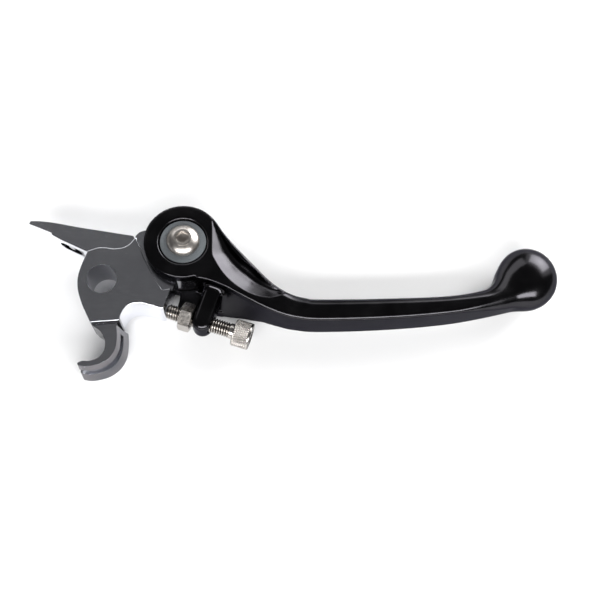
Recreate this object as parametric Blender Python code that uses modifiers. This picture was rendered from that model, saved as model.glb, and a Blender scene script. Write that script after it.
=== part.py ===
"""Folding hand lever for a motorcycle: a machined knuckle, a blade that folds on it, and a reach adjuster.

The frame is the knuckle's own. The origin lies on the main pivot bore, half way through the knuckle.
X runs along the lever to its ball end, Y points forward, away from the handlebar, Z along the pivot.
Lengths at the top are in millimetres, and the helpers turn them into metres.
"""
import math

import bmesh
import bpy
from mathutils import Matrix, Vector

MM = 0.001
GAP = 0.25                      # clearance left between touching pieces

# Knuckle
KNUCKLE_HALF = 6.6              # half the thickness of the pivot boss
BORE_RADIUS = 4.7
ARM_TOP = 5.6
ARM_BOTTOM = -3.1
HOOK_TOP = 4.6
HOOK_BOTTOM = -6.5
HOOK_SLOT = (-1.5, 1.3)         # the gap between the hook's two prongs
HOOK_CENTRE = (-2.5, -20.5)     # the middle of the space inside the hook
HOOK_DRAFT = 0.26               # how much wider the hook's outer side is at its bottom than at its top
TONGUE_HALF = 3.9
TONGUE_RADIUS = 11.6
STOP_ANGLE = math.radians(-17)  # direction in which the stop face looks
ARM_WALL_CENTRE = (-11.3, 11.95, 1.2)
ARM_WALL_NORMAL = (-0.466, -0.885, 0.0)
POCKET_RADIUS = 2.0             # the oval pocket in the arm's wall: end radius, half the straight, depth
POCKET_STRAIGHT = 1.9
POCKET_DEPTH = 1.4
PIN_RADIUS = 1.05
PIN_SHOWS_TO = 0.3              # how far below the wall the contact pin's face lies
PIN_LENGTH = 3.3

# Fold joint
FOLD_CENTRE = (24.5, 12.5)
EYE_RADIUS = 12.3
EYE_HALF = 8.8
EAR_INNER = 4.9
SLOT_RADIUS = 12.6
CAP_RADIUS = 7.25
CAP_THICKNESS = 1.1
CAP_TOP = 8.2
COUNTERBORE_FLOOR = 6.9
SLEEVE_RADIUS = 4.7
BUSH_OUTER = 5.7
BUSH_RUNNING_GAP = 0.2
FLANGE_HOLE_RADIUS = 0.9        # the two pin holes that hold the sleeve's flange while the bolt is turned
FLANGE_HOLE_OFFSET = 5.4
FLANGE_HOLE_DEPTH = 0.7
THRUST_INNER = 8.9
THRUST_OUTER = 11.2
SPRING_POCKET_RADIUS = 8.6
SPRING_POCKET_FLOOR = -0.6
SPRING_RADIUS = 7.2
SPRING_WIRE = 1.2
SPRING_TURNS = 2.25
SPRING_PITCH = 1.25
SPRING_START = 0.25             # height of the first turn's centre
SPRING_STEPS = 16               # straight pieces in one turn
SPRING_LEG_ANGLE = math.radians(200)
SPRING_LEG_END = 9.7            # radius at which the lower leg ends
SPRING_SLOT = (10.4, 1.0)       # end radius and half width of the slot for the lower leg
SPRING_HOLE_RADIUS = 0.9        # the hole in the upper ear for the upper leg
SPRING_HOLE_TOP = 7.5

# Fold bolt, M6 button head
BOLT_RADIUS = 3.0
BOLT_HEAD_RADIUS = 5.2
BOLT_HEAD_HEIGHT = 3.1
BOLT_HEX = 4.0
BOLT_HEX_DEPTH = 2.0
BOLT_END = -7.6

# Blade
BLADE_HALF = 6.9
BLADE_EDGE = 1.6                # radius along the blade's edges
SKIRT_BOTTOM = -8.78
SKIRT_TOP = 5.0
SKIRT_SLOPE = 3.0               # how far the skirt's wall leans in towards its top
BALL_CENTRE = (137.1, 6.2)
BALL_RADII = (9.9, 9.8, 8.2)

# Reach adjuster, M5 cap head screw and lock nut
SCREW_TIP = (19.95, -7.9)
SCREW_RADIUS = 2.5
SCREW_LENGTH = 22.2
SCREW_HEAD_RADIUS = 4.3
SCREW_HEAD_LENGTH = 5.6
SCREW_HEX = 4.0
SCREW_HEX_DEPTH = 2.6
NUT_THICKNESS = 4.0
NUT_FLATS = 8.0
NUT_TURN = math.radians(12)     # where the nut's flats came to rest
LUG_START = 8.85                # distance along the screw from its tip
LUG_END = 15.1
LUG_HALF = 4.5

SMOOTH = 'AUTO'
CORNER = 'VECTOR'


# ---------------------------------------------------------------- scene and materials

def clear_scene():
    for obj in list(bpy.data.objects):
        bpy.data.objects.remove(obj, do_unlink=True)


def new_collection(name):
    collection = bpy.data.collections.new(name)
    bpy.context.scene.collection.children.link(collection)
    return collection


def principled(name, colour, roughness, metallic):
    material = bpy.data.materials.new(name)
    material.use_nodes = True
    shader = material.node_tree.nodes["Principled BSDF"]
    shader.inputs["Base Color"].default_value = (*colour, 1.0)
    shader.inputs["Roughness"].default_value = roughness
    shader.inputs["Metallic"].default_value = metallic
    return material


def move_to(obj, collection):
    for other in list(obj.users_collection):
        other.objects.unlink(obj)
    collection.objects.link(obj)


def finish_piece(obj, name, material, angle=35):
    """Name a finished piece, give it its material and shade its round faces smooth."""
    obj.name = name
    obj.data.name = name
    obj.hide_render = False
    obj.display_type = 'TEXTURED'
    obj.data.materials.clear()
    obj.data.materials.append(material)
    obj.data.shade_smooth()
    obj.data.set_sharp_from_angle(angle=math.radians(angle))
    move_to(obj, PARTS)
    return obj


# ---------------------------------------------------------------- shape helpers

def clamp(value):
    return min(max(value, 0.0), 1.0)


def mesh_object(name, mesh):
    obj = bpy.data.objects.new(name, mesh)
    CUTTERS.objects.link(obj)
    obj.hide_render = True
    obj.display_type = 'WIRE'
    return obj


def cylinder(radius, bottom, top, centre=(0, 0), segments=48, top_radius=None):
    """An upright cylinder, or a cone when it has another radius at its top."""
    bm = bmesh.new()
    height = top - bottom
    end_radius = radius if top_radius is None else top_radius
    bmesh.ops.create_cone(bm, cap_ends=True, segments=segments, radius1=radius * MM,
                          radius2=end_radius * MM, depth=height * MM)
    place = Vector((centre[0], centre[1], bottom + height / 2)) * MM
    bmesh.ops.translate(bm, verts=bm.verts, vec=place)
    return bmesh_object("cylinder", bm)


def box(low, high):
    bm = bmesh.new()
    bmesh.ops.create_cube(bm, size=1)
    size = [(b - a) * MM for a, b in zip(low, high)]
    middle = [(a + b) / 2 * MM for a, b in zip(low, high)]
    bmesh.ops.scale(bm, verts=bm.verts, vec=size)
    bmesh.ops.translate(bm, verts=bm.verts, vec=middle)
    return bmesh_object("box", bm)


def bmesh_object(name, bm):
    mesh = bpy.data.meshes.new(name)
    bm.to_mesh(mesh)
    bm.free()
    return mesh_object(name, mesh)


def turned(profile, segments=48):
    """A turned piece: the profile holds radius and height, from the top down its outer side."""
    bm = bmesh.new()
    verts = [bm.verts.new((radius * MM, 0, height * MM)) for radius, height in profile]
    for first, second in zip(verts, verts[1:] + verts[:1]):
        if first.co.x > 0 or second.co.x > 0:
            bm.edges.new((first, second))
    obj = bmesh_object("turned", bm)
    screw = obj.modifiers.new("turn", 'SCREW')
    screw.axis = 'Z'
    screw.angle = math.tau
    screw.steps = segments
    screw.render_steps = segments
    screw.use_merge_vertices = True
    screw.merge_threshold = 0.00001
    return bake(obj)


def bake(obj):
    """Replace an object by a plain mesh of the shape that its modifiers or its curve give."""
    graph = bpy.context.evaluated_depsgraph_get()
    mesh = bpy.data.meshes.new_from_object(obj.evaluated_get(graph))
    matrix = obj.matrix_world.copy()
    bpy.data.objects.remove(obj, do_unlink=True)
    bm = bmesh.new()
    bm.from_mesh(mesh)
    bmesh.ops.remove_doubles(bm, verts=bm.verts, dist=0.000001)
    bmesh.ops.recalc_face_normals(bm, faces=bm.faces)
    bm.to_mesh(mesh)
    bm.free()
    baked = mesh_object("baked", mesh)
    baked.matrix_world = matrix
    return baked


def plate(points, bottom, top, edge=0.0, resolution=6):
    """A flat piece from a closed outline of (x, y, handle) points, with its edges rounded by `edge`."""
    curve = bpy.data.curves.new("outline", 'CURVE')
    curve.dimensions = '2D'
    curve.fill_mode = 'BOTH'
    curve.resolution_u = resolution
    curve.extrude = ((top - bottom) / 2 - edge) * MM
    curve.bevel_depth = edge * MM
    curve.bevel_resolution = 2
    curve.offset = -edge * MM
    spline = curve.splines.new('BEZIER')
    spline.bezier_points.add(len(points) - 1)
    spline.use_cyclic_u = True
    for knot, (x, y, handle) in zip(spline.bezier_points, points):
        knot.co = (x * MM, y * MM, 0)
        knot.handle_left_type = handle
        knot.handle_right_type = handle
    obj = bpy.data.objects.new("outline", curve)
    CUTTERS.objects.link(obj)
    obj.location.z = (bottom + top) / 2 * MM
    bpy.context.view_layer.update()
    return bake(obj)


def combine(obj, others, operation):
    """Join the other shapes to a piece, or cut them out of it."""
    for other in others:
        modifier = obj.modifiers.new(operation.lower(), 'BOOLEAN')
        modifier.operation = operation
        modifier.object = other
        modifier.solver = 'EXACT'
    bpy.context.view_layer.update()
    result = bake(obj)
    for other in others:
        bpy.data.objects.remove(other, do_unlink=True)
    return result


def rounded(obj, width, segments=2, angle=40):
    bevel = obj.modifiers.new("edges", 'BEVEL')
    bevel.width = width * MM
    bevel.segments = segments
    bevel.limit_method = 'ANGLE'
    bevel.angle_limit = math.radians(angle)
    return bake(obj)


def transformed(obj, matrix):
    obj.data.transform(matrix)
    obj.data.update()
    return obj


def arc(centre, radius, start, end, steps):
    """Corner points along an arc, with its angles in degrees."""
    angles = [math.radians(start + (end - start) * i / steps) for i in range(steps + 1)]
    return [(centre[0] + radius * math.cos(a), centre[1] + radius * math.sin(a), CORNER) for a in angles]


def hex_prism(flats, bottom, top):
    return cylinder(flats / math.sqrt(3), bottom, top, segments=6)


def at_fold(obj):
    return transformed(obj, Matrix.Translation((FOLD_CENTRE[0] * MM, FOLD_CENTRE[1] * MM, 0)))


def screw_matrix():
    """Take a shape modelled up the Z axis to the adjuster's axis, with its base at the screw's tip."""
    direction = Vector((math.cos(STOP_ANGLE), math.sin(STOP_ANGLE), 0))
    turn = direction.to_track_quat('Z', 'Y').to_matrix().to_4x4()
    return Matrix.Translation((SCREW_TIP[0] * MM, SCREW_TIP[1] * MM, 0)) @ turn


# ---------------------------------------------------------------- knuckle

def stop_face():
    """The lower and upper corner of the face that the adjuster's tip bears on."""
    across = Vector((math.cos(STOP_ANGLE), math.sin(STOP_ANGLE)))
    along = Vector((-across.y, across.x))
    middle = Vector(SCREW_TIP) - across * GAP
    return [(*(middle + along * distance), CORNER) for distance in (-1.3, 5.4)]


def knuckle_body():
    """The full-thickness part: pivot boss, neck of the hook and stop nose."""
    outline = [
        (-5.2, 9.2, CORNER), (-7.0, 3.2, SMOOTH), (-7.4, -1.5, SMOOTH), (-5.8, -7.5, SMOOTH),
        (-2.4, -14.2, CORNER), (6.3, -13.4, CORNER), (6.7, -11.2, SMOOTH), (8.4, -8.7, SMOOTH),
        (11.4, -7.7, SMOOTH), (15.3, -8.3, SMOOTH), (18.6, -9.35, CORNER),
        *stop_face(), (18.7, -3.2, CORNER),
        (13.6, 5.0, SMOOTH), (9.4, 14.5, CORNER), (7.3, 11.6, SMOOTH), (4.0, 10.3, SMOOTH),
        (-1.5, 10.5, SMOOTH),
    ]
    return plate(outline, -KNUCKLE_HALF, KNUCKLE_HALF, edge=0.25)


def knuckle_arm():
    """The pointed arm that rests on the return stop."""
    outline = [
        (-24.4, 18.3, CORNER), (-24.0, 19.3, CORNER), (-20.3, 19.3, SMOOTH), (-8.3, 17.5, CORNER),
        (8.6, 15.1, CORNER), (9.4, 13.0, CORNER), (6.0, 7.0, CORNER), (-5.0, 7.0, CORNER),
        (-5.2, 9.2, CORNER), (-14.1, 13.2, CORNER), (-17.0, 14.8, CORNER), (-17.0, 15.4, CORNER),
    ]
    return plate(outline, ARM_BOTTOM, ARM_TOP)


def knuckle_tongue():
    """The thinner tongue between the blade's ears, round the fold axis."""
    outline = [
        (8.6, 14.6, CORNER), (9.3, 16.3, SMOOTH), (10.9, 17.6, SMOOTH), (13.4, 18.0, CORNER),
        *arc(FOLD_CENTRE, TONGUE_RADIUS, 146, -98, 30),
        stop_face()[1], (18.0, -5.0, CORNER), (8.0, 6.0, CORNER),
    ]
    return plate(outline, -TONGUE_HALF, TONGUE_HALF)


def draft_hook(hook):
    """Slope the hook's outer wall, so that it is widest at the bottom; its inner wall stays upright."""
    bm = bmesh.new()
    bm.from_mesh(hook.data)
    bmesh.ops.triangulate(bm, faces=bm.faces)
    for vertex in bm.verts:
        x, y, z = vertex.co / MM
        away = Vector((x - HOOK_CENTRE[0], y - HOOK_CENTRE[1], 0))
        outer = clamp((away.length - 6.0) / 1.0) * clamp((-13.0 - y) / 2.0)
        away.x *= clamp((x + 4.4) / 2.0)
        depth = (HOOK_TOP - z) / (HOOK_TOP - HOOK_BOTTOM)
        vertex.co += away * HOOK_DRAFT * outer * depth * MM
    bm.to_mesh(hook.data)
    bm.free()


def knuckle_hook():
    """The hook that carries the push rod's end, parted by a slot into two prongs."""
    outline = [
        (-2.6, -13.0, CORNER), (-2.0, -14.5, SMOOTH), (0.6, -16.5, SMOOTH), (2.3, -20.3, SMOOTH),
        (1.3, -24.0, SMOOTH), (-1.6, -25.7, SMOOTH), (-4.8, -26.1, SMOOTH), (-5.4, -27.0, SMOOTH),
        (-4.2, -27.5, SMOOTH), (-0.5, -27.3, SMOOTH), (3.3, -25.5, SMOOTH), (5.4, -22.5, SMOOTH),
        (5.9, -19.2, SMOOTH), (5.3, -13.0, CORNER),
    ]
    hook = plate(outline, HOOK_BOTTOM, HOOK_TOP)
    draft_hook(hook)
    slot = box((-10, -40, HOOK_SLOT[0]), (12, -16.2, HOOK_SLOT[1]))
    return combine(hook, [slot], 'DIFFERENCE')


def arm_wall_matrix():
    """Take a shape modelled along Z to the arm's lower wall, with Z pointing out of the wall."""
    turn = Vector(ARM_WALL_NORMAL).to_track_quat('Z', 'X').to_matrix().to_4x4()
    return Matrix.Translation(Vector(ARM_WALL_CENTRE) * MM) @ turn


def arm_pocket():
    """An oval pocket in the arm's lower wall, with a hole for the contact pin."""
    outside = 3.0
    ends = [
        cylinder(POCKET_RADIUS, -POCKET_DEPTH, outside, (0, side * POCKET_STRAIGHT), segments=24)
        for side in (-1, 1)
    ]
    middle = box(
        (-POCKET_RADIUS, -POCKET_STRAIGHT, -POCKET_DEPTH),
        (POCKET_RADIUS, POCKET_STRAIGHT, outside),
    )
    hole_end = -PIN_SHOWS_TO - PIN_LENGTH - 0.4
    hole = cylinder(PIN_RADIUS + GAP, hole_end, outside, segments=20)
    pocket = combine(middle, ends + [hole], 'UNION')
    return transformed(pocket, arm_wall_matrix())


def knuckle():
    piece = combine(knuckle_body(), [knuckle_arm(), knuckle_tongue(), knuckle_hook()], 'UNION')
    bore = cylinder(BORE_RADIUS, -10, 10)
    fold_bore = cylinder(BUSH_OUTER + GAP, -10, 10, FOLD_CENTRE)
    spring_pocket = cylinder(SPRING_POCKET_RADIUS, SPRING_POCKET_FLOOR, 10, FOLD_CENTRE)
    slot_end, slot_half = SPRING_SLOT
    leg = box((SPRING_RADIUS, -slot_half, SPRING_POCKET_FLOOR), (slot_end, slot_half, 10))
    leg = at_fold(transformed(leg, Matrix.Rotation(SPRING_LEG_ANGLE, 4, 'Z')))
    piece = combine(piece, [bore, fold_bore, spring_pocket, leg, arm_pocket()], 'DIFFERENCE')
    return finish_piece(piece, "knuckle", ALUMINIUM)


def arm_contact_pin():
    pin = cylinder(PIN_RADIUS, -PIN_SHOWS_TO - PIN_LENGTH, -PIN_SHOWS_TO, segments=20)
    pin = transformed(pin, arm_wall_matrix())
    return finish_piece(pin, "arm_contact_pin", STEEL)


# ---------------------------------------------------------------- blade

def blade_half_height(x):
    """Half the blade's height: as high as the eye at first, then lower along the grip."""
    t = clamp((x - 34) / (62 - 34))
    return EYE_HALF + (BLADE_HALF - EYE_HALF) * t * t * (3 - 2 * t)


def blade_bar():
    outline = [
        (24.0, 20.0, CORNER), (29.6, 23.3, SMOOTH), (35.6, 18.0, SMOOTH), (41.2, 11.2, SMOOTH),
        (50.3, 2.4, SMOOTH), (59.2, -3.2, SMOOTH), (68.0, -4.5, SMOOTH), (87.2, -3.8, SMOOTH),
        (108.9, -2.4, SMOOTH), (119.6, -0.2, SMOOTH), (126.0, 5.0, SMOOTH), (130.0, 11.0, CORNER),
        (141.0, 2.0, CORNER), (134.0, -3.4, SMOOTH), (123.0, -6.5, SMOOTH), (103.7, -9.6, SMOOTH),
        (85.2, -11.3, SMOOTH), (67.7, -12.1, SMOOTH), (59.6, -11.4, SMOOTH), (50.3, -8.4, SMOOTH),
        (37.2, -1.9, SMOOTH), (30.9, 0.2, SMOOTH), (24.2, 0.6, CORNER),
    ]
    bar = plate(outline, -EYE_HALF, EYE_HALF, edge=BLADE_EDGE, resolution=4)
    for vertex in bar.data.vertices:
        vertex.co.z *= blade_half_height(vertex.co.x / MM) / EYE_HALF
    return bar


def blade_ball():
    bm = bmesh.new()
    bmesh.ops.create_uvsphere(bm, u_segments=28, v_segments=16, radius=MM)
    bmesh.ops.scale(bm, verts=bm.verts, vec=BALL_RADII)
    bmesh.ops.translate(bm, verts=bm.verts, vec=(BALL_CENTRE[0] * MM, BALL_CENTRE[1] * MM, 0))
    return bmesh_object("ball", bm)


def blade_eye():
    return rounded(cylinder(EYE_RADIUS, -EYE_HALF, EYE_HALF, FOLD_CENTRE, segments=64), 1.0)


def blade_lug():
    """The lug that the adjuster screws through, with a rounded end behind the screw."""
    width = LUG_END - LUG_START
    radius = width / 2
    end = arc((radius, -0.7), radius, 0, -180, 14)
    outline = [(0, 13.5, CORNER), (width, 13.5, CORNER), *end]
    lug = rounded(plate(outline, -LUG_HALF, LUG_HALF), 0.7, angle=60)
    place = Matrix.Translation((SCREW_TIP[0] * MM, SCREW_TIP[1] * MM, 0))
    place = place @ Matrix.Rotation(STOP_ANGLE, 4, 'Z') @ Matrix.Translation((LUG_START * MM, 0, 0))
    return transformed(lug, place)


def blade_skirt():
    """The lower ear's extension behind the eye, and the sloping wall that carries it on past the lug."""
    ear = plate([
        (23.6, 6.0, CORNER), (23.2, -2.6, CORNER), (22.5, -5.4, CORNER), (23.8, -6.4, CORNER),
        (37.0, -6.4, CORNER), (37.0, 6.0, CORNER),
    ], SKIRT_BOTTOM, -EAR_INNER, edge=0.6)
    wall = plate([
        (33.0, 0.0, CORNER), (33.0, -5.2, CORNER), (37.0, -6.2, SMOOTH), (42.3, -7.2, SMOOTH),
        (48.0, -8.2, SMOOTH), (55.5, -9.8, CORNER), (55.5, -7.0, CORNER), (44.0, -2.0, CORNER),
    ], SKIRT_BOTTOM + 0.3, SKIRT_TOP)
    for vertex in wall.data.vertices:
        if vertex.co.z > 0:
            vertex.co.y += SKIRT_SLOPE * MM
    return [ear, wall]


def blade():
    piece = combine(blade_bar(), [blade_eye(), blade_ball(), blade_lug(), *blade_skirt()], 'UNION')
    cutters = [
        cylinder(SLOT_RADIUS, -EAR_INNER, EAR_INNER, FOLD_CENTRE, segments=64),
        cylinder(BUSH_OUTER + GAP, -12, 12, FOLD_CENTRE),
        cylinder(CAP_RADIUS + GAP, COUNTERBORE_FLOOR, 12, FOLD_CENTRE),
        cylinder(CAP_RADIUS + GAP, -12, -COUNTERBORE_FLOOR, FOLD_CENTRE),
        at_fold(cylinder(SPRING_HOLE_RADIUS, 0, SPRING_HOLE_TOP, spring_end(), segments=16)),
        transformed(cylinder(SCREW_RADIUS + GAP, -5, 30, segments=32), screw_matrix()),
    ]
    piece = combine(piece, cutters, 'DIFFERENCE')
    return finish_piece(piece, "blade", BLACK)


# ---------------------------------------------------------------- fold joint

def fold_bolt():
    """M6 button head bolt with a hexagon socket."""
    base = CAP_TOP + GAP
    top = base + BOLT_HEAD_HEIGHT
    profile = [
        (0, top), (2.9, top), (4.0, base + 2.4), (4.8, base + 1.4), (BOLT_HEAD_RADIUS, base + 0.4),
        (BOLT_HEAD_RADIUS, base), (BOLT_RADIUS, base), (BOLT_RADIUS, BOLT_END + 0.5),
        (BOLT_RADIUS - 0.5, BOLT_END), (0, BOLT_END),
    ]
    socket = hex_prism(BOLT_HEX, top - BOLT_HEX_DEPTH, top + 1)
    piece = combine(turned(profile), [socket], 'DIFFERENCE')
    return finish_piece(at_fold(piece), "fold_bolt", STAINLESS)


def cap_washer():
    """The flat ring in the upper ear's counterbore, under the bolt's head."""
    bottom = CAP_TOP - CAP_THICKNESS
    profile = [
        (BOLT_RADIUS + GAP, CAP_TOP), (CAP_RADIUS - 0.3, CAP_TOP), (CAP_RADIUS, CAP_TOP - 0.3),
        (CAP_RADIUS, bottom), (BOLT_RADIUS + GAP, bottom),
    ]
    return finish_piece(at_fold(turned(profile)), "cap_washer", ANODISED_GREY)


def sleeve_nut():
    """The flanged, threaded sleeve on which the joint turns, held by the bolt."""
    flange_top = -CAP_TOP + CAP_THICKNESS
    end = CAP_TOP - CAP_THICKNESS - GAP
    bore = BOLT_RADIUS + GAP
    profile = [
        (bore, end), (SLEEVE_RADIUS, end), (SLEEVE_RADIUS, flange_top), (CAP_RADIUS, flange_top),
        (CAP_RADIUS, -CAP_TOP + 0.3), (CAP_RADIUS - 0.3, -CAP_TOP), (bore, -CAP_TOP),
    ]
    pin_holes = [
        cylinder(FLANGE_HOLE_RADIUS, -12, FLANGE_HOLE_DEPTH - CAP_TOP, (side * FLANGE_HOLE_OFFSET, 0), 16)
        for side in (-1, 1)
    ]
    piece = combine(turned(profile), pin_holes, 'DIFFERENCE')
    return finish_piece(at_fold(piece), "sleeve_nut", STAINLESS)


def ring_piece(name, inner, outer, bottom, top, material):
    profile = [(inner, top), (outer, top), (outer, bottom), (inner, bottom)]
    return finish_piece(at_fold(turned(profile, segments=40)), name, material)


def bushes_and_washers():
    inner = SLEEVE_RADIUS + BUSH_RUNNING_GAP
    ear_low = EAR_INNER + 0.05
    ear_high = COUNTERBORE_FLOOR - 0.05
    ring_piece("upper_ear_bush", inner, BUSH_OUTER, ear_low, ear_high, BRONZE)
    ring_piece("lower_ear_bush", inner, BUSH_OUTER, -ear_high, -ear_low, BRONZE)
    ring_piece("tongue_bush", inner, BUSH_OUTER, -TONGUE_HALF + 0.05, SPRING_POCKET_FLOOR - 0.1, BRONZE)
    low = TONGUE_HALF + GAP
    high = EAR_INNER - GAP
    ring_piece("upper_thrust_washer", THRUST_INNER, THRUST_OUTER, low, high, NYLON)
    ring_piece("lower_thrust_washer", THRUST_INNER, THRUST_OUTER, -high, -low, NYLON)


def spring_end():
    """Where the coil's upper leg stands, measured from the fold axis."""
    angle = SPRING_LEG_ANGLE + math.tau * SPRING_TURNS
    return (SPRING_RADIUS * math.cos(angle), SPRING_RADIUS * math.sin(angle))


def fold_spring():
    """Torsion spring: one leg in the tongue's slot, a coil, and one leg up in the upper ear."""
    coil = []
    for step in range(round(SPRING_TURNS * SPRING_STEPS) + 1):
        turns = step / SPRING_STEPS
        angle = SPRING_LEG_ANGLE + math.tau * turns
        height = SPRING_START + SPRING_PITCH * turns
        coil.append((SPRING_RADIUS * math.cos(angle), SPRING_RADIUS * math.sin(angle), height))
    across = Vector((math.cos(SPRING_LEG_ANGLE), math.sin(SPRING_LEG_ANGLE), 0))
    level = Vector((0, 0, SPRING_START))
    leg_in = [level + across * radius for radius in (SPRING_LEG_END, SPRING_LEG_END - 1.1)]
    end = coil[-1]
    leg_up = [(end[0], end[1], end[2] + rise) for rise in (0.9, 2.0, 3.0)]
    points = leg_in + coil + leg_up

    curve = bpy.data.curves.new("fold_spring", 'CURVE')
    curve.dimensions = '3D'
    curve.bevel_depth = SPRING_WIRE / 2 * MM
    curve.bevel_resolution = 2
    curve.use_fill_caps = True
    spline = curve.splines.new('POLY')
    spline.points.add(len(points) - 1)
    for knot, place in zip(spline.points, points):
        knot.co = (*[value * MM for value in place], 1)
    obj = bpy.data.objects.new("fold_spring", curve)
    CUTTERS.objects.link(obj)
    bpy.context.view_layer.update()
    return finish_piece(at_fold(bake(obj)), "fold_spring", STEEL)


# ---------------------------------------------------------------- reach adjuster

def adjuster_screw():
    """M5 cap head screw whose tip bears on the knuckle's stop face."""
    head = SCREW_LENGTH
    top = head + SCREW_HEAD_LENGTH
    profile = [
        (0, top), (SCREW_HEAD_RADIUS - 0.5, top), (SCREW_HEAD_RADIUS, top - 0.5),
        (SCREW_HEAD_RADIUS, head + 0.2), (SCREW_HEAD_RADIUS - 0.2, head), (SCREW_RADIUS, head),
        (SCREW_RADIUS, 0.9), (SCREW_RADIUS - 0.9, 0), (0, 0),
    ]
    socket = hex_prism(SCREW_HEX, top - SCREW_HEX_DEPTH, top + 1)
    piece = combine(turned(profile, segments=32), [socket], 'DIFFERENCE')
    return finish_piece(transformed(piece, screw_matrix()), "adjuster_screw", STAINLESS)


def adjuster_lock_nut():
    end = LUG_START - GAP
    start = end - NUT_THICKNESS
    body = hex_prism(NUT_FLATS, start, end)
    hole = cylinder(SCREW_RADIUS + GAP, start - 1, end + 1, segments=32)
    piece = combine(body, [hole], 'DIFFERENCE')
    piece = transformed(piece, screw_matrix() @ Matrix.Rotation(NUT_TURN, 4, 'Z'))
    return finish_piece(piece, "adjuster_lock_nut", STAINLESS)


clear_scene()
PARTS = new_collection("clutch_lever")
CUTTERS = new_collection("cutters")
ALUMINIUM = principled("machined_aluminium", (0.62, 0.62, 0.64), 0.25, 1.0)
BLACK = principled("black_anodised_blade", (0.012, 0.012, 0.014), 0.18, 0.0)
ANODISED_GREY = principled("grey_cap_washer", (0.30, 0.32, 0.34), 0.45, 0.6)
STAINLESS = principled("stainless_fasteners", (0.60, 0.57, 0.53), 0.28, 1.0)
STEEL = principled("spring_steel", (0.45, 0.45, 0.46), 0.35, 1.0)
BRONZE = principled("bronze_bushes", (0.62, 0.42, 0.22), 0.40, 1.0)
NYLON = principled("nylon_washers", (0.75, 0.74, 0.70), 0.55, 0.0)

knuckle()
arm_contact_pin()
blade()
fold_bolt()
cap_washer()
sleeve_nut()
bushes_and_washers()
fold_spring()
adjuster_screw()
adjuster_lock_nut()
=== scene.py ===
"""The looks of a folding motorcycle lever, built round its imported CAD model.

Lengths are in millimetres in the CAD model's frame, and the helpers turn them into metres. Only the camera's
and the lights' places and sizes are written in metres.
"""
import math

import bmesh
import bpy
import numpy as np
from mathutils import Matrix, Vector

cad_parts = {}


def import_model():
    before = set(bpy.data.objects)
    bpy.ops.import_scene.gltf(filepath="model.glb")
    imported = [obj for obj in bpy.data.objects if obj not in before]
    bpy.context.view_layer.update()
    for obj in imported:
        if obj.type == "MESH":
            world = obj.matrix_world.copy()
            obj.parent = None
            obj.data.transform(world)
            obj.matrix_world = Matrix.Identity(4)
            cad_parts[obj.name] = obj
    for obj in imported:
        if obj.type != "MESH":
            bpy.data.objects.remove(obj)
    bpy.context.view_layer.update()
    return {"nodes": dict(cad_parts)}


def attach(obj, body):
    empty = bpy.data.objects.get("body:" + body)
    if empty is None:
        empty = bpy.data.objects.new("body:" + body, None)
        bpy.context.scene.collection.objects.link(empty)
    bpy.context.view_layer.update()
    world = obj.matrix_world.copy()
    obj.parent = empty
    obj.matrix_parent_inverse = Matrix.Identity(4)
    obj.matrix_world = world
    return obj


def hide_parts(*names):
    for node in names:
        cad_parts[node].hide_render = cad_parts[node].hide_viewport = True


MM = 0.001

# Places and sizes that the CAD model also has
FOLD_CENTRE = (24.5, 12.5)
EYE_RADIUS = 12.3
EYE_HALF = 8.8
EAR_INNER = 4.9
SLOT_RADIUS = 12.6
BUSH_SEAT = 5.95
COUNTERBORE_RADIUS = 7.5
COUNTERBORE_FLOOR = 6.9
COUNTERBORE_CHAMFER = 0.5
CAP_TOP = 8.2
CAP_RADIUS = 7.25
CAP_THICKNESS = 1.1
BOLT_BASE = 8.45
BLADE_HALF = 6.9
BLADE_END = 146.98
BLADE_SIDE = 24.79
BALL_CENTRE = (137.2, 5.9, 0.0)
BALL_RADII = (9.75, 10.3, 8.2)
SCREW_TIP = (19.95, -7.9)
SCREW_ANGLE = math.radians(-17)
SCREW_RADIUS = 2.5
SCREW_PITCH = 0.8
THREAD_DEPTH = 0.42
THREAD_CLEARANCE = 0.12
SCREW_LENGTH = 22.2
HEAD_RADIUS = 4.3
HEAD_LENGTH = 5.6
KNURL_DEPTH = 0.22
SOCKET_CORNER = 4.0 / math.sqrt(3)
LUG_START = 8.85
LUG_END = 15.1
LUG_HALF = 4.5
NUT_START = 4.6
NUT_THICKNESS = 4.0
NUT_FLATS = 8.0
NUT_TURN = math.radians(-5)
FLOOR_LEVEL = -8.8
FLOOR_GAP = 0.02
POCKET_CENTRE = (-11.3, 1.2)
POCKET_DEPTH = 5.31 + 0.85

# Camera
CAMERA_PLACE = (0.044240, -0.089175, 0.241106)
CAMERA_RIGHT = (0.99776, 0.0, 0.06683)
CAMERA_BACK = (-0.06283, -0.34080, 0.93803)
CAMERA_LENS = 48.81


# ---------------------------------------------------------------- mesh helpers

def new_object(name, mesh):
    obj = bpy.data.objects.new(name, mesh)
    bpy.context.scene.collection.objects.link(obj)
    return obj


def mesh_from(name, verts, faces):
    """A mesh object from coordinates in millimetres."""
    mesh = bpy.data.meshes.new(name)
    mesh.from_pydata((np.asarray(verts, float) * MM).tolist(), [], faces)
    mesh.update()
    mesh.shade_smooth()
    return new_object(name, mesh)


def applied(obj):
    """Replace an object's mesh by what its modifiers make of it."""
    bpy.context.view_layer.update()
    graph = bpy.context.evaluated_depsgraph_get()
    mesh = bpy.data.meshes.new_from_object(obj.evaluated_get(graph))
    obj.modifiers.clear()
    obj.data = mesh
    return obj


def bevelled(obj, width, segments=3, angle=30):
    bevel = obj.modifiers.new("edges", 'BEVEL')
    bevel.width = width * MM
    bevel.segments = segments
    bevel.limit_method = 'ANGLE'
    bevel.angle_limit = math.radians(angle)
    bevel.harden_normals = False
    bevel.use_clamp_overlap = True
    return applied(obj)


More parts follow.
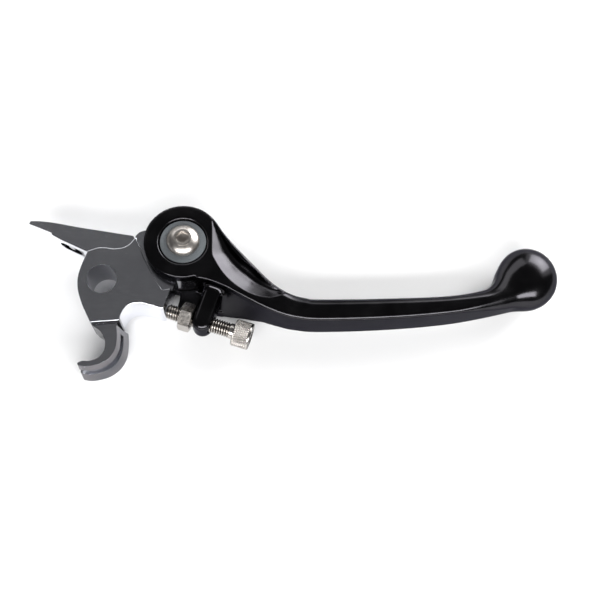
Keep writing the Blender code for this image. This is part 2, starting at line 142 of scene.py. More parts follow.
def cut(obj, cutter):
    modifier = obj.modifiers.new("cut", 'BOOLEAN')
    modifier.operation = 'DIFFERENCE'
    modifier.object = cutter
    modifier.solver = 'EXACT'
    applied(obj)
    bpy.data.objects.remove(cutter, do_unlink=True)
    return obj


def prism(sides, radius, bottom, top, turn=0.0):
    """An upright prism or cylinder on the Z axis, used as a cutter."""
    bm = bmesh.new()
    bmesh.ops.create_cone(bm, cap_ends=True, segments=sides, radius1=radius * MM,
                          radius2=radius * MM, depth=(top - bottom) * MM)
    place = Matrix.Translation((0, 0, (top + bottom) / 2 * MM)) @ Matrix.Rotation(turn, 4, 'Z')
    bmesh.ops.transform(bm, verts=bm.verts, matrix=place)
    mesh = bpy.data.meshes.new("prism")
    bm.to_mesh(mesh)
    bm.free()
    return new_object("prism", mesh)


def turned(name, profile, segments=96):
    """A closed turned mesh from (radius, height) points that run down its outer side."""
    angles = np.arange(segments) * math.tau / segments
    verts = []
    faces = []
    rings = []
    for radius, height in profile:
        if radius < 1e-6:
            rings.append([len(verts)])
            verts.append((0, 0, height))
            continue
        first = len(verts)
        rings.append(list(range(first, first + segments)))
        verts.extend((radius * math.cos(a), radius * math.sin(a), height) for a in angles)
    pairs = list(zip(rings, rings[1:]))
    if len(rings[0]) > 1:
        pairs.append((rings[-1], rings[0]))
    for upper, lower in pairs:
        for i in range(segments):
            j = (i + 1) % segments
            quad = [
                upper[i % len(upper)], lower[i % len(lower)],
                lower[j % len(lower)], upper[j % len(upper)],
            ]
            faces.append(list(dict.fromkeys(quad)))
    return mesh_from(name, verts, faces)


def rounded_profile(points, radius=0.25, steps=4):
    """Round each corner of a (radius, height) profile by a small arc."""
    result = [points[0]]
    for before, corner, after in zip(points, points[1:], points[2:]):
        b, c, a = (np.array(p, float) for p in (before, corner, after))
        reach = min(radius, np.linalg.norm(b - c) / 2.2, np.linalg.norm(a - c) / 2.2)
        start = c + (b - c) / np.linalg.norm(b - c) * reach
        end = c + (a - c) / np.linalg.norm(a - c) * reach
        for step in range(steps + 1):
            t = step / steps
            result.append(tuple((1 - t) ** 2 * start + 2 * t * (1 - t) * c + t * t * end))
    result.append(points[-1])
    return result


def place_at_fold(obj):
    obj.data.transform(Matrix.Translation((FOLD_CENTRE[0] * MM, FOLD_CENTRE[1] * MM, 0)))
    return obj


def place_on_screw(obj, turn=0.0):
    """Take a mesh modelled up the Z axis to the adjuster's axis, with its base at the screw's tip."""
    direction = Vector((math.cos(SCREW_ANGLE), math.sin(SCREW_ANGLE), 0))
    matrix = direction.to_track_quat('Z', 'Y').to_matrix().to_4x4()
    tip = Matrix.Translation((SCREW_TIP[0] * MM, SCREW_TIP[1] * MM, 0))
    obj.data.transform(tip @ matrix @ Matrix.Rotation(turn, 4, 'Z'))
    return obj


def smooth_curve(points, steps=8):
    """Points along a smooth curve through the given ones."""
    p = np.array(points, float)
    p = np.vstack([2 * p[0] - p[1], p, 2 * p[-1] - p[-2]])
    result = []
    for i in range(1, len(p) - 2):
        for t in np.arange(steps) / steps:
            a, b, c, d = p[i - 1], p[i], p[i + 1], p[i + 2]
            result.append(0.5 * (2 * b + (c - a) * t + (2 * a - 5 * b + 4 * c - d) * t ** 2
                                 + (3 * b - a - 3 * c + d) * t ** 3))
    result.append(p[-2])
    return np.array(result)


# ---------------------------------------------------------------- distance fields

def smoothstep(low, high, value):
    t = np.clip((value - low) / (high - low), 0, 1)
    return t * t * (3 - 2 * t)


def smooth_min(a, b, k):
    h = np.clip(1 - np.abs(a - b) / k, 0, 1)
    return np.minimum(a, b) - h * h * k / 4


def smooth_max(a, b, k):
    return -smooth_min(-a, -b, k)


def curve_distance(x, y, curve):
    """Unsigned distance in the plane to a run of points."""
    best = np.full(np.broadcast(x, y).shape, 1e9)
    for (x0, y0), (x1, y1) in zip(curve, curve[1:]):
        dx, dy = x1 - x0, y1 - y0
        t = np.clip(((x - x0) * dx + (y - y0) * dy) / (dx * dx + dy * dy), 0, 1)
        best = np.minimum(best, (x - x0 - t * dx) ** 2 + (y - y0 - t * dy) ** 2)
    return np.sqrt(best)


def above_curve(x, y, curve):
    """Signed distance to a curve that runs along X: positive above it."""
    height = np.interp(x, curve[:, 0], curve[:, 1])
    return np.where(y > height, 1.0, -1.0) * curve_distance(x, y, curve)


def polygon_distance(x, y, corners):
    """Signed distance to a polygon: negative inside."""
    corners = np.array(corners, float)
    x, y = np.broadcast_arrays(x, y)
    inside = np.zeros(x.shape, bool)
    for (x0, y0), (x1, y1) in zip(corners, np.roll(corners, -1, axis=0)):
        crosses = (y0 > y) != (y1 > y)
        step = y1 - y0 if y1 != y0 else 1e-9
        inside ^= crosses & (x < (x1 - x0) * (y - y0) / step + x0)
    distance = curve_distance(x, y, np.vstack([corners, corners[:1]]))
    return np.where(inside, -distance, distance)


def extruded(flat, rise, edge):
    """A flat shape's distance and a height above its faces, joined with edges of the given radius."""
    a = flat + edge
    b = rise + edge
    outside = np.sqrt(np.maximum(a, 0) ** 2 + np.maximum(b, 0) ** 2)
    return outside + np.minimum(np.maximum(a, b), 0) - edge


def field_mesh(name, field, low, high, step):
    """The surface where a field is zero, as quads with one vertex in each grid cell that it crosses."""
    axes = [np.arange(a, b + step, step) for a, b in zip(low, high)]
    grid = np.meshgrid(*axes, indexing='ij', sparse=True)
    values = field(*grid).astype(np.float32)
    inside = values < 0
    shape = [n - 1 for n in values.shape]
    total = np.zeros((*shape, 3), np.float32)
    count = np.zeros(shape, np.int8)
    corners = [(i, j, k) for i in (0, 1) for j in (0, 1) for k in (0, 1)]

    def view(array, corner):
        return array[tuple(slice(c, c + n) for c, n in zip(corner, shape))]

    for first in corners:
        for axis in range(3):
            if first[axis]:
                continue
            second = tuple(c + (a == axis) for a, c in enumerate(first))
            crossed = view(inside, first) != view(inside, second)
            v0 = view(values, first)[crossed]
            v1 = view(values, second)[crossed]
            where = np.repeat(np.array([first], np.float32), len(v0), axis=0)
            where[:, axis] += v0 / (v0 - v1)
            total[crossed] += where
            count[crossed] += 1
    active = count > 0
    cells = np.argwhere(active)
    verts = (cells + total[active] / count[active][:, None]) * step + np.array(low)
    number = np.full(shape, -1, np.int64)
    number[active] = np.arange(len(cells))
    quads = []
    for axis in range(3):
        u, v = (axis + 1) % 3, (axis + 2) % 3
        here = [slice(None)] * 3
        there = [slice(None)] * 3
        here[axis] = slice(0, -1)
        there[axis] = slice(1, None)
        a, b = inside[tuple(here)], inside[tuple(there)]
        for flip, edges in ((False, a & ~b), (True, ~a & b)):
            at = np.argwhere(edges)
            at = at[(at[:, u] > 0) & (at[:, v] > 0)]
            ring = []
            for du, dv in ((1, 1), (0, 1), (0, 0), (1, 0)):
                cell = at.copy()
                cell[:, u] -= du
                cell[:, v] -= dv
                ring.append(number[tuple(cell.T)])
            quad = np.stack(ring, axis=1)
            quads.append(quad[:, ::-1] if flip else quad)
    verts = onto_surface(field, verts, step)
    return mesh_from(name, verts, np.vstack(quads).tolist())


def onto_surface(field, verts, step):
    """Move points along the field's slope until they lie on its surface."""
    h = step * 0.15
    for _ in range(3):
        p = [verts[:, i] for i in range(3)]
        value = field(*p)
        slope = []
        for axis in range(3):
            ahead = list(p)
            behind = list(p)
            ahead[axis] = p[axis] + h
            behind[axis] = p[axis] - h
            slope.append((field(*ahead) - field(*behind)) / (2 * h))
        slope = np.stack(slope, axis=1)
        move = value[:, None] * slope / np.maximum((slope ** 2).sum(axis=1), 0.2)[:, None]
        verts = verts - np.clip(move, -step * 0.5, step * 0.5) * 0.8
    return verts


# ---------------------------------------------------------------- blade

FRONT_EDGE = smooth_curve([
    (20.0, 28.0), (26.0, 25.4), (31.4, 21.9), (35.6, 17.7), (41.2, 11.2), (50.3, 2.4), (54.7, -0.9),
    (59.2, -3.1), (63.6, -4.2), (68.0, -4.5), (87.2, -3.8), (108.9, -2.4), (119.6, -0.2), (123.6, 1.7),
    (126.0, 4.6), (128.0, 7.6), (131.5, 10.4), (136.0, 11.6), (150.0, 12.0),
])
REAR_EDGE = smooth_curve([
    (20.0, 0.6), (24.2, 0.4), (30.9, 0.1), (37.2, -1.9), (43.8, -5.2), (50.3, -8.4), (56.0, -10.6),
    (60.5, -11.6), (67.7, -12.1), (85.2, -11.3), (103.7, -9.6), (123.0, -6.7), (134.0, -4.4), (139.5, -2.9),
    (144.0, 0.0),
    (146.4, 4.0), (150.0, 14.0),
])
SCOOP_REAR = smooth_curve([
    (33.0, 21.4), (33.3, 18.0), (33.5, 13.0), (33.7, 8.6), (34.9, 6.0), (37.0, 2.7), (40.2, -0.7),
    (44.3, -3.4), (48.4, -4.9), (52.1, -5.2), (55.3, -4.4), (57.4, -3.2),
])
SCOOP_FRONT = smooth_curve([
    (33.0, 21.4), (35.9, 16.5), (39.3, 11.4), (42.5, 7.7), (46.4, 4.7), (49.6, 1.8), (53.7, -1.5),
    (57.4, -3.2),
])
EAR_BOTTOM = 8.7
SCOOP_SLOPE = 0.52
SCOOP_LOWEST = 0.72
EAR_OUTLINE = [(23.6, 6.0), (23.2, -2.6), (22.5, -5.4), (23.8, -6.4), (37.0, -6.4), (37.0, 6.0)]


def blade_half_height(x):
    return EYE_HALF + (BLADE_HALF - EYE_HALF) * smoothstep(34, 62, x)


def rear_lean(x):
    """How much further back the rear wall stands at its foot than at its top."""
    return np.interp(x, (33, 37, 44, 50.5, 56), (5.4, 4.4, 2.0, 0.3, 0.0))


def scoop_depth(x, y):
    """Depth of the hollow in the blade's face beside the eye."""
    outline = np.vstack([SCOOP_REAR, SCOOP_FRONT[::-1][1:-1]])
    inside = polygon_distance(x, y, outline) < 0
    rear = curve_distance(x, y, SCOOP_REAR)
    front = curve_distance(x, y, SCOOP_FRONT)
    width = np.minimum(rear + front, 7.5)
    across = rear / np.maximum(rear + front, 1e-6)
    descent = SCOOP_SLOPE * (across - across ** 6 / (6 * SCOOP_LOWEST ** 5))
    deepest = SCOOP_SLOPE * SCOOP_LOWEST * 5 / 6
    ascent = deepest * (1 - ((across - SCOOP_LOWEST) / (1 - SCOOP_LOWEST)) ** 2)
    depth = width * np.where(across < SCOOP_LOWEST, descent, ascent)
    return np.where(inside, depth, 0.0)


def screw_axes(x, y):
    """Distance along the adjuster from its tip, and sideways from its axis."""
    dx = x - SCREW_TIP[0]
    dy = y - SCREW_TIP[1]
    along = dx * math.cos(SCREW_ANGLE) + dy * math.sin(SCREW_ANGLE)
    aside = -dx * math.sin(SCREW_ANGLE) + dy * math.cos(SCREW_ANGLE)
    return along, aside


def blade_field(x, y, z):
    height = np.abs(z)
    from_fold = np.hypot(x - FOLD_CENTRE[0], y - FOLD_CENTRE[1])
    front = above_curve(x, y, FRONT_EDGE)
    rear = -above_curve(x, y, REAR_EDGE)
    lean = rear_lean(x) * np.clip((5.5 - z) / 12.5, 0, 1)
    lean = lean * smoothstep(31, 35, x)
    bar = smooth_max(smooth_max(front, rear - lean, 1.0), 29.0 - x, 1.0)
    bar = smooth_max(bar, x - 142.0, 5.0)
    flat = smooth_min(from_fold - EYE_RADIUS, bar, 0.8)

    to_front = smoothstep(-4, 4, front - rear)
    grip = smoothstep(40, 60, x)
    tail = smoothstep(110, 136, x)
    front_edge = 0.5 + 2.5 * grip + 3.0 * tail
    rear_edge = 0.5 + 0.7 * grip + 4.3 * tail
    edge = rear_edge + (front_edge - rear_edge) * to_front
    half = blade_half_height(x) - scoop_depth(x, y)
    body = extruded(flat, height - half, edge)

    scaled = [(v - c) / r for v, c, r in zip((x, y, z), BALL_CENTRE, BALL_RADII)]
    steeper = [s / r for s, r in zip(scaled, BALL_RADII)]
    size = np.sqrt(sum(s * s for s in scaled))
    slope = np.sqrt(sum(s * s for s in steeper))
    ball = size * (size - 1) / np.maximum(slope, 1e-6)
    body = smooth_min(body, ball, 3.0)

    along, aside = screw_axes(x, y)
    lug_radius = (LUG_END - LUG_START) / 2
    lug_flat = np.hypot(along - LUG_START - lug_radius, np.minimum(aside + 0.7, 0)) - lug_radius
    lug = smooth_max(extruded(lug_flat, height - LUG_HALF, 1.8), aside - 13.5, 0.5)
    body = smooth_min(body, lug, 1.6)

    ear_flat = polygon_distance(x, y, EAR_OUTLINE)
    ear = extruded(ear_flat, np.abs(z + (EAR_BOTTOM + EAR_INNER) / 2) - (EAR_BOTTOM - EAR_INNER) / 2, 0.5)
    body = smooth_min(body, ear, 0.8)

    slot = np.maximum(from_fold - SLOT_RADIUS, height - EAR_INNER)
    body = smooth_max(body, -slot, 0.3)
    body = np.maximum(body, BUSH_SEAT - from_fold)
    counterbore = np.minimum(COUNTERBORE_RADIUS - from_fold, height - COUNTERBORE_FLOOR)
    chamfer = (COUNTERBORE_RADIUS + COUNTERBORE_CHAMFER - from_fold - (EYE_HALF - height)) * 0.707
    body = np.maximum(body, np.maximum(counterbore, np.minimum(chamfer, height - COUNTERBORE_FLOOR)))
    hole = np.hypot(aside, z) - SCREW_RADIUS - THREAD_CLEARANCE
    return smooth_max(body, np.minimum(-hole, LUG_END + 1.0 - along), 0.3)


def blade():
    """The blade as one smooth surface, kept inside the CAD model's box."""
    step = 0.34
    piece = field_mesh("folding_blade", blade_field, (10.6, -16.2, -9.4), (148.2, 26.4, 9.4), step)
    for vertex in piece.data.vertices:
        vertex.co.x = min(vertex.co.x, BLADE_END * MM)
        vertex.co.y = min(vertex.co.y, BLADE_SIDE * MM)
        vertex.co.z = max(-EYE_HALF * MM, min(vertex.co.z, EYE_HALF * MM))
    return piece


# ---------------------------------------------------------------- knuckle

def knuckle(source):
    """The CAD knuckle with its machined edges broken."""
    mesh = source.data.copy()
    bm = bmesh.new()
    bm.from_mesh(mesh)
    bmesh.ops.remove_doubles(bm, verts=bm.verts, dist=0.02 * MM)
    bmesh.ops.dissolve_limit(bm, angle_limit=math.radians(1), verts=bm.verts, edges=bm.edges)
    bm.to_mesh(mesh)
    bm.free()
    mesh.materials.clear()
    obj = new_object("machined_knuckle", mesh)
    obj.data.shade_smooth()
    obj = bevelled(obj, 0.14, segments=2, angle=32)
    obj.data.set_sharp_from_angle(angle=math.radians(50))
    weighted = obj.modifiers.new("flat faces", 'WEIGHTED_NORMAL')
    weighted.weight = 100
    weighted.keep_sharp = True
    return applied(obj)


# ---------------------------------------------------------------- fasteners

def wave(phase):
    """A 60 degree thread's outline over one turn, from 0 at the root to 1 at the crest."""
    t = np.abs((phase % 1.0) * 2 - 1)
    return np.clip(1.25 * t - 0.12, 0, 1)


def skin(name, angles, heights, radius):
    """A closed tube: radius is a function of angle and height, and flat discs close its ends."""
    rows, columns = len(heights), len(angles)
    a, h = np.meshgrid(angles, heights)
    r = radius(a, h)
    verts = np.stack([r * np.cos(a), r * np.sin(a), h], axis=2).reshape(-1, 3)
    faces = []
    for i in range(rows - 1):
        for j in range(columns):
            k = (j + 1) % columns
            faces.append([i * columns + j, i * columns + k, (i + 1) * columns + k, (i + 1) * columns + j])
    faces.append(list(range(columns))[::-1])
    faces.append([(rows - 1) * columns + j for j in range(columns)])
    return mesh_from(name, verts, faces)


def threaded_shank():
    angles = np.arange(64) * math.tau / 64
    heights = np.linspace(0, SCREW_LENGTH + 0.05, 400)

    def radius(a, h):
        crest = SCREW_RADIUS - 0.03
        depth = THREAD_DEPTH * np.clip((SCREW_LENGTH - 1.1 - h) / 0.6, 0, 1)
        thread = crest - depth * (1 - wave(h / SCREW_PITCH - a / math.tau))
        chamfer = SCREW_RADIUS - 0.75 + h * 0.9
        return np.minimum(thread, chamfer)

    return place_on_screw(skin("adjuster_thread", angles, heights, radius))


def knurled_head():
    turns = 40
    angles = np.arange(turns * 8) * math.tau / (turns * 8)
    heights = np.linspace(SCREW_LENGTH, SCREW_LENGTH + HEAD_LENGTH, 90)

    def radius(a, h):
        lift = (h - SCREW_LENGTH) / 0.62
        one = np.abs(((a / math.tau * turns + lift * 0.5) % 1.0) * 2 - 1)
        other = np.abs(((a / math.tau * turns - lift * 0.5) % 1.0) * 2 - 1)
        pattern = np.minimum(one, other)
        margin = np.minimum(h - SCREW_LENGTH - 0.35, SCREW_LENGTH + HEAD_LENGTH - 0.75 - h)
        knurl = np.clip(margin / 0.15, 0, 1)
        body = HEAD_RADIUS - 0.02 - KNURL_DEPTH * knurl * (1 - np.clip(pattern * 1.6, 0, 1))
        low = HEAD_RADIUS - 0.30 + (h - SCREW_LENGTH)
        rest = SCREW_LENGTH + HEAD_LENGTH - h
        high = HEAD_RADIUS - 0.55 + np.sqrt(np.clip(0.55 ** 2 - (0.55 - np.minimum(rest, 0.55)) ** 2, 0, 1))
        return np.minimum(np.minimum(body, low), high)

    head = skin("adjuster_head", angles, heights, radius)
    top = SCREW_LENGTH + HEAD_LENGTH
    head = cut(head, prism(6, SOCKET_CORNER, top - 2.6, top + 1))
    return place_on_screw(head)


def lock_nut():
    """A hexagon nut with both faces chamfered."""
    start, end = NUT_START, NUT_START + NUT_THICKNESS
    corner = NUT_FLATS / math.sqrt(3)
    nut = prism(6, corner, start, end)
    nut.name = "lock_nut_body"
    cone = turned("cone", rounded_profile([
        (0, end), (NUT_FLATS / 2 - 0.15, end), (corner + 0.06, end - 0.42),
        (corner + 0.06, start + 0.42), (NUT_FLATS / 2 - 0.15, start), (0, start),
    ], 0.05, 1))
    modifier = nut.modifiers.new("chamfer", 'BOOLEAN')
    modifier.operation = 'INTERSECT'
    modifier.object = cone
    modifier.solver = 'EXACT'
    applied(nut)
    bpy.data.objects.remove(cone, do_unlink=True)
    nut = cut(nut, prism(48, SCREW_RADIUS + 0.1, start - 1, end + 1))
    nut.data.shade_smooth()
    nut.data.set_sharp_from_angle(angle=math.radians(20))
    return place_on_screw(nut, NUT_TURN)


def fold_bolt():
    """Button head bolt with a hexagon socket and a rounded crown."""
    base = BOLT_BASE
    crown = [(5.2 * math.sin(a), base + 0.45 + 2.75 * math.cos(a)) for a in np.linspace(0.56, 1.52, 12)]
    top = base + 3.1
    profile = [(0, top), (2.75, top), *crown, (5.2, base + 0.15), (5.05, base), (3.0, base), (3.0, -7.1),
               (2.5, -7.6), (0, -7.6)]
    bolt = turned("fold_bolt_body", profile)
    bolt = cut(bolt, prism(6, SOCKET_CORNER, top - 1.9, top + 1, turn=math.radians(8)))
    drill = [(0, top - 1.6), (1.9, top - 1.6), (1.9, top - 1.9), (0, top - 3.1)]
    bolt = cut(bolt, turned("drill", drill, 48))
    bolt.data.shade_smooth()
    bolt.data.set_sharp_from_angle(angle=math.radians(35))
    return place_at_fold(bolt)


def cap_ring():
    bottom = CAP_TOP - CAP_THICKNESS
    profile = rounded_profile([
        (3.25, CAP_TOP - 0.4), (3.25, CAP_TOP), (CAP_RADIUS, CAP_TOP), (CAP_RADIUS, bottom), (3.25, bottom),
        (3.25, bottom + 0.3),
    ], 0.28, 5)
    return place_at_fold(turned("cap_ring", profile, segments=128))


# ---------------------------------------------------------------- materials

def material(name, colour, roughness, metallic):
    made = bpy.data.materials.new(name)
    made.use_nodes = True
    shader = made.node_tree.nodes["Principled BSDF"]
    shader.inputs["Base Color"].default_value = (*colour, 1)
    shader.inputs["Roughness"].default_value = roughness
    shader.inputs["Metallic"].default_value = metallic
    return made


def noise(made, scale, detail=3.0, stretch=(1, 1, 1)):
    """A noise value that is fixed to the object, finer for a larger scale, in cycles per metre."""
    tree = made.node_tree
    place = tree.nodes.new("ShaderNodeTexCoord")
    mapping = tree.nodes.new("ShaderNodeMapping")
    mapping.inputs["Scale"].default_value = stretch
    texture = tree.nodes.new("ShaderNodeTexNoise")
    texture.inputs["Scale"].default_value = scale
    texture.inputs["Detail"].default_value = detail
    tree.links.new(place.outputs["Object"], mapping.inputs["Vector"])
    tree.links.new(mapping.outputs["Vector"], texture.inputs["Vector"])
    return texture.outputs["Fac"]


def spread(made, value, low, high, start=0.3, stop=0.7):
    """Turn a value from start..stop into low..high."""
    tree = made.node_tree
    node = tree.nodes.new("ShaderNodeMapRange")
    node.inputs["From Min"].default_value = start
    node.inputs["From Max"].default_value = stop
    node.inputs["To Min"].default_value = low
    node.inputs["To Max"].default_value = high
    tree.links.new(value, node.inputs["Value"])
    return node.outputs["Result"]


def tint(made, value, dark, light):
    tree = made.node_tree
    ramp = tree.nodes.new("ShaderNodeValToRGB")
    ramp.color_ramp.elements[0].position = 0.3
    ramp.color_ramp.elements[0].color = (*dark, 1)
    ramp.color_ramp.elements[1].position = 0.7
    ramp.color_ramp.elements[1].color = (*light, 1)
    tree.links.new(value, ramp.inputs["Fac"])
    return ramp.outputs["Color"]


def feed(made, socket, value):
    tree = made.node_tree
    tree.links.new(value, tree.nodes["Principled BSDF"].inputs[socket])


def bump(made, value, height, distance=0.00001):
    tree = made.node_tree
    node = tree.nodes.new("ShaderNodeBump")
    node.inputs["Strength"].default_value = height
    node.inputs["Distance"].default_value = distance
    tree.links.new(value, node.inputs["Height"])
    feed(made, "Normal", node.outputs["Normal"])


def mixed(made, share, first, second):
    tree = made.node_tree
    node = tree.nodes.new("ShaderNodeMix")
    node.data_type = 'RGBA'
    tree.links.new(share, node.inputs["Factor"])
    tree.links.new(first, node.inputs["A"])
    tree.links.new(second, node.inputs["B"])
    return node.outputs["Result"]


def maths(made, operation, first, second):
    """A maths node on two values, each a number or another node's output."""
    tree = made.node_tree
    node = tree.nodes.new("ShaderNodeMath")
    node.operation = operation
    for socket, value in zip(node.inputs, (first, second)):
        if isinstance(value, float):
            socket.default_value = value
        else:
            tree.links.new(value, socket)
    return node.outputs["Value"]


def painted_shade_places(made):
    """Painted shade: 1 on the upright walls of the hook and inside the arm's pocket, 0.45 on the walls of
    the pivot's bore.
    """
    tree = made.node_tree
    place = tree.nodes.new("ShaderNodeTexCoord")
    where = tree.nodes.new("ShaderNodeSeparateXYZ")
    tree.links.new(place.outputs["Object"], where.inputs["Vector"])
    facing = tree.nodes.new("ShaderNodeSeparateXYZ")
    tree.links.new(place.outputs["Normal"], facing.inputs["Vector"])
    across = maths(made, 'MULTIPLY', where.outputs["X"], where.outputs["X"])
    along = maths(made, 'MULTIPLY', where.outputs["Y"], where.outputs["Y"])
    from_bore = maths(made, 'SQRT', maths(made, 'ADD', across, along), 0.0)
    in_bore = maths(made, 'LESS_THAN', from_bore, 4.95 * MM)
    on_hook = maths(made, 'LESS_THAN', where.outputs["Y"], -12.6 * MM)
    upright = maths(made, 'LESS_THAN', maths(made, 'ABSOLUTE', facing.outputs["Z"], 0.0), 0.6)
    half_bore = maths(made, 'MULTIPLY', in_bore, 0.45)
    # Painted shade on the hook's upright walls, at 0.45 strength on the walls of the bore.
    walls_in_shade = maths(made, 'MULTIPLY', maths(made, 'MAXIMUM', half_bore, on_hook), upright)
    # Painted shade inside the arm's pocket.
    depth = maths(made, 'ADD', maths(made, 'MULTIPLY', where.outputs["X"], 0.466),
                  maths(made, 'MULTIPLY', where.outputs["Y"], 0.885))
    sunk = maths(made, 'COMPARE', depth, POCKET_DEPTH * MM)
    sunk.node.inputs[2].default_value = 0.75 * MM
    level = maths(made, 'COMPARE', where.outputs["Z"], POCKET_CENTRE[1] * MM)
    level.node.inputs[2].default_value = 2.1 * MM
    beside = maths(made, 'COMPARE', where.outputs["X"], POCKET_CENTRE[0] * MM)
    beside.node.inputs[2].default_value = 4.2 * MM
    in_pocket = maths(made, 'MULTIPLY', maths(made, 'MULTIPLY', sunk, level), beside)
    return maths(made, 'MAXIMUM', walls_in_shade, in_pocket)


def machined_aluminium():
    made = material("machined_aluminium", (0.76, 0.76, 0.77), 0.20, 1.0)
    grain = noise(made, 1500, 3, (0.3, 2, 2))
    patches = noise(made, 120, 2)
    bright = tint(made, patches, (0.73, 0.74, 0.78), (0.80, 0.81, 0.85))
    # The dark tint is painted shade for the hook's walls, the bore and the arm's pocket.
    painted_shade = tint(made, patches, (0.085, 0.09, 0.105), (0.16, 0.15, 0.16))
    feed(made, "Base Color", mixed(made, painted_shade_places(made), bright, painted_shade))
    feed(made, "Roughness", spread(made, grain, 0.14, 0.21))
    bump(made, grain, 0.03)
    return made


def black_gloss():
    """Black anodising: a dark mirror that stays dark at a slant."""
    made = material("black_gloss", (0.042, 0.041, 0.045), 0.14, 1.0)
    shader = made.node_tree.nodes["Principled BSDF"]
    shader.inputs["Specular Tint"].default_value = (0.45, 0.45, 0.47, 1)
    waves = noise(made, 160, 2)
    dust = noise(made, 2600, 2)
    feed(made, "Base Color", tint(made, waves, (0.033, 0.032, 0.035), (0.042, 0.041, 0.044)))
    feed(made, "Roughness", spread(made, waves, 0.15, 0.23))
    bump(made, dust, 0.02)
    return made


def stainless(name="stainless", rough=0.22):
    made = material(name, (0.50, 0.47, 0.44), rough, 1.0)
    grain = noise(made, 900, 3)
    stain = noise(made, 260, 3)
    feed(made, "Base Color", tint(made, stain, (0.40, 0.37, 0.34), (0.58, 0.55, 0.52)))
    feed(made, "Roughness", spread(made, grain, rough - 0.05, rough + 0.05))
    bump(made, grain, 0.04)
    return made


def root_shaded_stainless(name, floor_radius, crest_radius):
    """Stainless with painted shade at the bottom of a thread or a knurl round the adjuster's axis."""
    made = stainless(name, 0.24)
    tree = made.node_tree
    place = tree.nodes.new("ShaderNodeTexCoord")
    from_tip = tree.nodes.new("ShaderNodeVectorMath")
    from_tip.operation = 'SUBTRACT'
    from_tip.inputs[1].default_value = (SCREW_TIP[0] * MM, SCREW_TIP[1] * MM, 0)
    tree.links.new(place.outputs["Object"], from_tip.inputs[0])
    turned_off = tree.nodes.new("ShaderNodeVectorMath")
    turned_off.operation = 'CROSS_PRODUCT'
    turned_off.inputs[1].default_value = (math.cos(SCREW_ANGLE), math.sin(SCREW_ANGLE), 0)
    tree.links.new(from_tip.outputs["Vector"], turned_off.inputs[0])
    length = tree.nodes.new("ShaderNodeVectorMath")
    length.operation = 'LENGTH'
    tree.links.new(turned_off.outputs["Vector"], length.inputs[0])
    height = spread(made, length.outputs["Value"], 0, 1, floor_radius * MM, crest_radius * MM)
    unshaded = tint(made, noise(made, 300, 3), (0.52, 0.49, 0.46), (0.66, 0.63, 0.60))
    # The dark tint is painted shade in the roots of the thread and the knurl.
    root_shade = tint(made, noise(made, 300, 3), (0.05, 0.045, 0.04), (0.10, 0.09, 0.08))
    feed(made, "Base Color", mixed(made, height, root_shade, unshaded))
    return made


def plain_metal(name, dark, light, rough):
    made = material(name, light, rough, 1.0)
    grain = noise(made, 1200, 3)
    feed(made, "Base Color", tint(made, noise(made, 240, 3), dark, light))
    feed(made, "Roughness", spread(made, grain, rough - 0.06, rough + 0.08))
    bump(made, grain, 0.05)
    return made


def grey_anodised():
    made = material("grey_anodised", (0.09, 0.10, 0.11), 0.42, 0.2)
    grain = noise(made, 2400, 3)
    feed(made, "Base Color", tint(made, grain, (0.105, 0.116, 0.124), (0.125, 0.137, 0.146)))
    feed(made, "Roughness", spread(made, grain, 0.36, 0.50))
    bump(made, grain, 0.06)
    return made


def nylon():
    made = material("nylon", (0.75, 0.74, 0.70), 0.5, 0.0)
    grain = noise(made, 700, 3)
    feed(made, "Base Color", tint(made, grain, (0.68, 0.67, 0.62), (0.78, 0.77, 0.73)))
    feed(made, "Roughness", spread(made, grain, 0.45, 0.60))
    bump(made, grain, 0.3)
    return made


def paint(obj, made):
    obj.data.materials.clear()
    obj.data.materials.append(made)


# ---------------------------------------------------------------- studio

def floor():
    size = 3.0
    corners = ((-1, -1), (1, -1), (1, 1), (-1, 1))
    verts = [(x * size / MM, y * size / MM, FLOOR_LEVEL - FLOOR_GAP) for x, y in corners]
    obj = mesh_from("studio_floor", verts, [[0, 1, 2, 3]])
    made = material("studio_floor", (0.90, 0.90, 0.90), 0.7, 0.0)
    feed(made, "Roughness", spread(made, noise(made, 30, 2), 0.65, 0.8))
    paint(obj, made)


def softbox(name, place, target, size, radiance, spread=180):
    """A rectangular light of a stated brightness that faces a target, narrower for a low spread."""
    light = bpy.data.lights.new(name, 'AREA')
    light.shape = 'RECTANGLE'
    light.size, light.size_y = size
    light.energy = radiance * math.pi * size[0] * size[1]
    light.spread = math.radians(spread)
    obj = bpy.data.objects.new(name, light)
    bpy.context.scene.collection.objects.link(obj)
    obj.location = place
    obj.rotation_euler = (Vector(target) - Vector(place)).to_track_quat('-Z', 'Y').to_euler()


def world():
    """A dim room: the softboxes and the white floor do the rest."""
    made = bpy.data.worlds.new("studio")
    made.use_nodes = True
    background = made.node_tree.nodes["Background"]
    background.inputs["Color"].default_value = (0.97, 0.97, 1.0, 1)
    background.inputs["Strength"].default_value = 0.095
    bpy.context.scene.world = made


def camera():
    """The view from above and in front, with plain display colours."""
    bpy.context.scene.view_settings.view_transform = 'Standard'
    data = bpy.data.cameras.new("camera")
    data.lens = CAMERA_LENS
    data.sensor_width = 36
    data.clip_start = 0.001
    obj = bpy.data.objects.new("camera", data)
    bpy.context.scene.collection.objects.link(obj)
    right, back = Vector(CAMERA_RIGHT).normalized(), Vector(CAMERA_BACK).normalized()
    up = back.cross(right)
    matrix = Matrix((right, up, back)).transposed().to_4x4()
    matrix.translation = CAMERA_PLACE
    obj.matrix_world = matrix
    bpy.context.scene.camera = obj


# ---------------------------------------------------------------- assembly

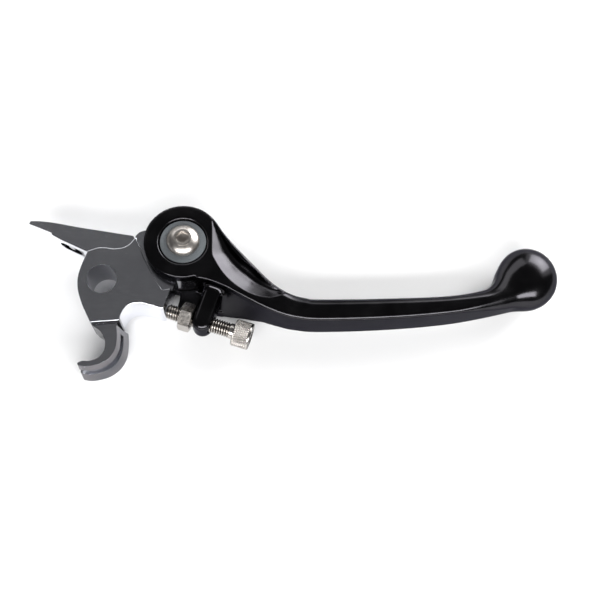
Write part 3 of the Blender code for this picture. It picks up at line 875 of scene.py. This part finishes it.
def add(obj, made, body, slot, *nodes):
    paint(obj, made)
    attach(obj, body)
    if nodes:
        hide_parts(*nodes)


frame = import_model()
nodes = frame["nodes"]
camera()
world()
floor()
softbox("key", (0.52, 0.48, 0.27), (0.08, 0, 0), (0.56, 0.46), 2.4, spread=90)
softbox("key halo", (0.57, 0.53, 0.29), (0.08, 0, 0), (0.95, 0.80), 0.6, spread=90)
softbox("front", (0.10, -0.62, 0.50), (0.06, 0, 0), (1.1, 0.32), 10.6)
softbox("fill", (-0.20, 0.62, 0.45), (0.06, 0, 0), (0.7, 0.45), 1.8)

ALUMINIUM = machined_aluminium()
BLACK = black_gloss()
STAINLESS = stainless()
BOLT_STEEL = stainless("bolt_stainless", 0.34)
# The thread's and the knurl's steels carry painted shade in their roots.
THREAD_STEEL = root_shaded_stainless("thread_stainless", SCREW_RADIUS - THREAD_DEPTH, SCREW_RADIUS - 0.12)
KNURL_STEEL = root_shaded_stainless("knurl_stainless", HEAD_RADIUS - KNURL_DEPTH, HEAD_RADIUS - 0.06)
STEEL = plain_metal("spring_steel", (0.34, 0.34, 0.35), (0.50, 0.50, 0.51), 0.32)
BRONZE = plain_metal("bronze", (0.52, 0.34, 0.16), (0.68, 0.47, 0.25), 0.34)
GREY = grey_anodised()
NYLON = nylon()

add(knuckle(nodes["knuckle"]), ALUMINIUM, "knuckle", "machined_aluminium", "knuckle")
add(blade(), BLACK, "blade", "black_blade", "blade")
add(cap_ring(), GREY, "fold_pivot", "grey_washer", "cap_washer")
add(fold_bolt(), BOLT_STEEL, "fold_pivot", "stainless", "fold_bolt")
add(threaded_shank(), THREAD_STEEL, "adjuster", "stainless", "adjuster_screw")
add(knurled_head(), KNURL_STEEL, "adjuster", "stainless")
add(lock_nut(), STAINLESS, "lock_nut", "stainless", "adjuster_lock_nut")

for name in ("upper_ear_bush", "lower_ear_bush", "tongue_bush"):
    paint(nodes[name], BRONZE)
for name in ("upper_thrust_washer", "lower_thrust_washer"):
    paint(nodes[name], NYLON)
for name in ("arm_contact_pin", "fold_spring"):
    paint(nodes[name], STEEL)
paint(nodes["sleeve_nut"], STAINLESS)
